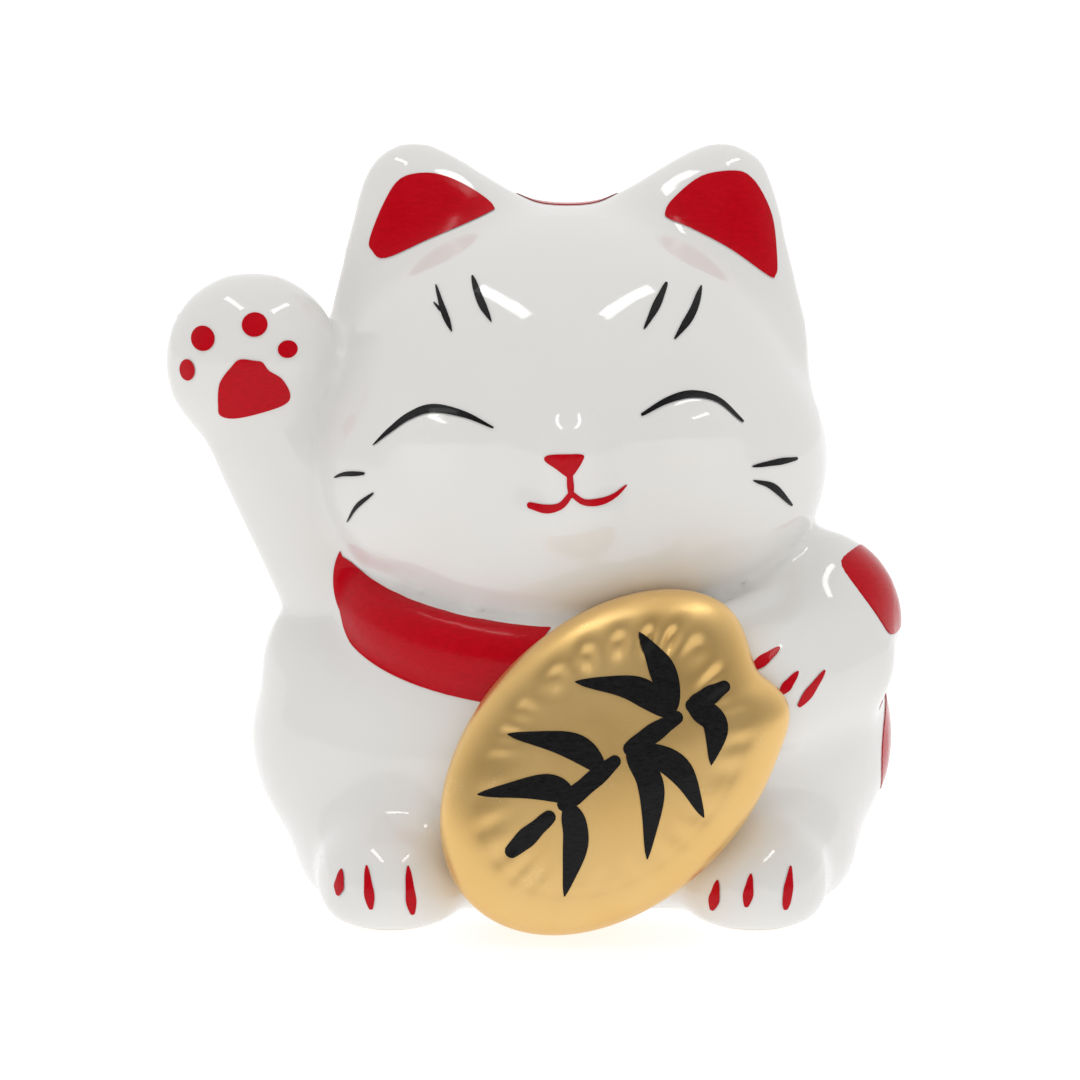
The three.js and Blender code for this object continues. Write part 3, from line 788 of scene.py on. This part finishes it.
def coin_depth(share, angle):
    """How far the coin's face stands in front of its middle, in millimetres, by share of its radius.

    The rim rolls back from the start of the roll, the field is a low dome, and a ring of thumb dents runs
    inside the rim, deepest at the upper side away from the paw.
    """
    roll_start, roll_depth = 0.7, 7.5
    dome, dome_reach = 1.8, 0.75
    dent_count, dent_depth, dent_ring, dent_reach = 25, 1.5, 0.72, 0.085
    roll = max(0, (share - roll_start) / (1 - roll_start))
    edge = roll_depth * (1 - math.sqrt(max(0, 1 - roll * roll)))
    field = dome * (1 - min(1, share / dome_reach) ** 2)
    pressed = math.exp(-(((share - dent_ring) / dent_reach) ** 2))
    strong = 0.12 + 0.88 * max(0, math.cos(angle - math.radians(138))) ** 2
    wander = angle + 0.04 * math.sin(5 * angle + 1) + 0.02 * math.sin(9 * angle)
    dents = dent_depth * strong * pressed * (0.5 + 0.5 * math.cos(dent_count * wander)) ** 1.1
    return COIN_THICKNESS / 2 + field - edge - dents


def coin_reach(angle):
    """The coin's outline, blunt where the paw holds it and with a soft corner beside the paw."""
    turn = math.degrees(angle)
    blunt = 0.125 * math.exp(-(((turn - 74) / (12.5 if turn < 74 else 22)) ** 2))
    corner = 0.03 * math.exp(-(((turn - 50) / 10) ** 2))
    return 1 - blunt + corner


def coin(by=0.0):
    """The oval coin in relief, grown all over by a film.

    The front half of a sphere becomes the face, and the back half its straight side and flat back.
    """
    bpy.ops.object.select_all(action="DESELECT")
    bpy.ops.mesh.primitive_uv_sphere_add(segments=224, ring_count=112, radius=MM)
    made = bpy.context.object
    for vertex in made.data.vertices:
        x, y, z = vertex.co / MM
        share, angle = min(1, math.hypot(x, y)), math.atan2(y, x)
        if z >= 0:
            reach, depth = share, coin_depth(share, angle)
        else:
            turned = 1 - math.acos(min(1, -z)) / (math.pi / 2)
            side = min(1, turned * 2)
            reach = min(1, 2 - turned * 2)
            depth = coin_depth(1, angle) + (-COIN_THICKNESS / 2 - coin_depth(1, angle)) * side
        reach *= coin_reach(angle)
        vertex.co = (
            reach * math.cos(angle) * (COIN_HALF_WIDTH + by) * MM,
            reach * math.sin(angle) * (COIN_HALF_LENGTH + by) * MM,
            (depth + by) * MM,
        )
    made.matrix_world = COIN_PLACE
    settle(made)
    return carve(made, below(0))


gold = coin()
pick(gold)
bpy.ops.object.shade_smooth_by_angle(angle=math.radians(60))
finish_piece(gold, "gold_coin", "cat", "gold_lacquer", GOLD, "koban_gold")

# A brushed sprig of bamboo: a jointed cane with leaves hanging off it.
CANE = [
    [(-2, -25), (-1.6, -15.6)],
    [(-1.3, -11.8), (-0.3, 0.6)],
    [(0.1, 4.4), (2.1, 14.6)],
    [(2.7, 18.4), (4.4, 25)],
]
LEAVES = [
    [(-0.5, -10), (-6, -12), (-14, -22)],
    [(-1, -11), (5, -15), (11, -24)],
    [(-0.5, -2), (-8, -3), (-18, -10)],
    [(0, 4), (8, 2), (17, -8)],
    [(0, 5), (9, 8), (19, 5)],
    [(1, 14), (-7, 13), (-16, 6)],
    [(1, 15), (-6, 19), (-14, 21)],
    [(2, 18), (8, 19), (13, 13)],
]
sprig = [stroke(joint, 3.6, (0.75, 0.7), 0.3) for joint in CANE]
sprig += [stroke(leaf, 5, (0.2, 0.06), 0.35) for leaf in LEAVES]
coin_skin = coin(FILM)
ink_film = carve(copy_of(coin_skin), coin(-0.05))
coat("koban_brushwork", sprig, COIN_PLACE, ink_film, coin_skin, "black_enamel", BLACK)


# ------------------------------------------------------------------ the plug
def bead(radius, middle, thick):
    """A sealing bead round the plug."""
    bpy.ops.object.select_all(action="DESELECT")
    bpy.ops.mesh.primitive_torus_add(
        location=at(0, PLUG_Y, middle),
        major_radius=radius * MM,
        minor_radius=thick * MM,
        major_segments=120,
    )
    return settle(bpy.context.object)


def plug():
    """The soft plug: a thin flange, a hollow barrel with two sealing beads, and a tab across its dish."""
    low, high = PLUG_LOW.z / MM, PLUG_HIGH.z / MM
    barrel = HOLE_RADIUS - PLUG_CLEARANCE
    flange_thickness, barrel_wall, barrel_floor, dish_depth = 1.8, 2.5, 6.8, 4.3
    made = disc(RECESS_RADIUS - PLUG_CLEARANCE, low, low + flange_thickness)
    carve(made, disc(barrel, low + 1, high), "UNION")
    for share in (0.55, 0.8):
        carve(made, bead(barrel - 0.2, low + (high - low) * share, 0.45), "UNION")
    carve(made, disc(barrel - barrel_wall, low + barrel_floor, high + 2))
    carve(made, disc(barrel * 0.6, low - 2, low + dish_depth))
    tab_half_length, tab_half_thickness = 8, 1.25
    carve(
        made,
        block(
            (-tab_half_length, PLUG_Y - tab_half_thickness, low + 0.2),
            (tab_half_length, PLUG_Y + tab_half_thickness, low + dish_depth + 0.3),
        ),
        "UNION",
    )
    for height in (0.6, 1.4, 2.2):
        grip = block((-6, PLUG_Y - 1.6, low + height), (6, PLUG_Y + 1.6, low + height + 0.3))
        carve(made, grip, "UNION")
    apply_modifier(made, "BEVEL", width=0.25 * MM, segments=2, angle_limit=math.radians(50))
    pick(made)
    bpy.ops.object.shade_smooth_by_angle(angle=math.radians(40))
    return finish_piece(made, "soft_plug", "stopper", "soft_pvc", PVC, "base_stopper")


plug()
for tool in (cast, FILM_SKIN, BODY_SKIN, coin_skin, ink_film):
    bpy.data.objects.remove(tool)


# ------------------------------------------------------------------ the table and the lamps
def table():
    """A lit opal acrylic sheet, as small goods stand on."""
    look, surface = new_look("opal_acrylic", Roughness=0.45, Emission_Strength=0.78)
    surface.inputs["Emission Color"].default_value = (1, 1, 1, 1)
    place = put(look, "ShaderNodeTexCoord").outputs["Object"]
    cloud = put(look, "ShaderNodeTexNoise", {"Vector": place, "Scale": per_metre(60)})
    colour = put(
        look,
        "ShaderNodeMix",
        {0: cloud.outputs[0], 6: linear("#9C9C9C"), 7: linear("#989898")},
        data_type="RGBA",
    )
    feed(look, surface, Base_Color=colour.outputs[2])
    bpy.ops.object.select_all(action="DESELECT")
    bpy.ops.mesh.primitive_plane_add(size=12, location=(0, 0, -0.1 * MM))
    sheet = bpy.context.object
    sheet.name = "table"
    sheet.data.materials.append(look)


def softbox(start, end, width, watts):
    """A softbox that runs between two points round the cat's head and is aimed at it. Sizes in metres."""
    start, end = Vector(start), Vector(end)
    out = (start + end).normalized()
    across = (end - start).cross(out).normalized()
    bpy.ops.object.select_all(action="DESELECT")
    bpy.ops.object.light_add(type="AREA")
    lamp = bpy.context.object
    lamp.data.shape = "RECTANGLE"
    lamp.data.size, lamp.data.size_y = width, (end - start).length
    lamp.data.energy = watts
    turn = Matrix((across, out.cross(across), out)).transposed().to_4x4()
    lamp.matrix_world = Matrix.Translation(at(0, 0, 85) + (start + end) / 2) @ turn
    return lamp


# Two narrow softboxes overhead leave their streaks in the glaze, and two soft fills in front leave none.
table()
for side in (-1, 1):
    softbox((side * 0.21, -0.36, 0.72), (side * 0.37, 0.02, 0.68), 0.06, 0.6)
for height, deep, watts in ((0.3, 0.9, 2.7), (-0.02, 0.1, 0.7)):
    fill = softbox((-0.45, -1.2, height), (0.45, -1.2, height), deep, watts)
    fill.visible_glossy = False

# The room is white and brightest behind the cat, and it darkens towards the front and below.
scene = bpy.context.scene
world = bpy.data.worlds.new("white_room")
world.use_nodes = True
scene.world = world
direction = put(world, "ShaderNodeTexCoord").outputs["Generated"]
parts = put(world, "ShaderNodeSeparateXYZ", {0: direction})
raised = put(world, "ShaderNodeMath", {0: parts.outputs["Z"], 1: 0.35}, operation="MULTIPLY")
lit = put(world, "ShaderNodeMath", {0: parts.outputs["Y"], 1: raised.outputs[0]}, operation="ADD")
backdrop = put(
    world,
    "ShaderNodeMapRange",
    {0: lit.outputs[0], 1: -1.0, 2: 0.85, 3: 0.12, 4: 1.03},
    clamp=True,
)
background = world.node_tree.nodes["Background"]
background.inputs["Color"].default_value = (1, 1, 1, 1)
world.node_tree.links.new(backdrop.outputs[0], background.inputs["Strength"])
scene.view_settings.view_transform = "Standard"

ELEVATION = math.radians(8)
DISTANCE = 0.9
bpy.ops.object.camera_add()
camera = bpy.context.object
back = Vector((0, -math.cos(ELEVATION), math.sin(ELEVATION)))
camera.location = at(-6.4, 0, 69) + back * DISTANCE
camera.rotation_mode = "QUATERNION"
camera.rotation_quaternion = back.to_track_quat("Z", "Y")
camera.data.lens = 150
camera.data.sensor_width = 36
scene.camera = camera
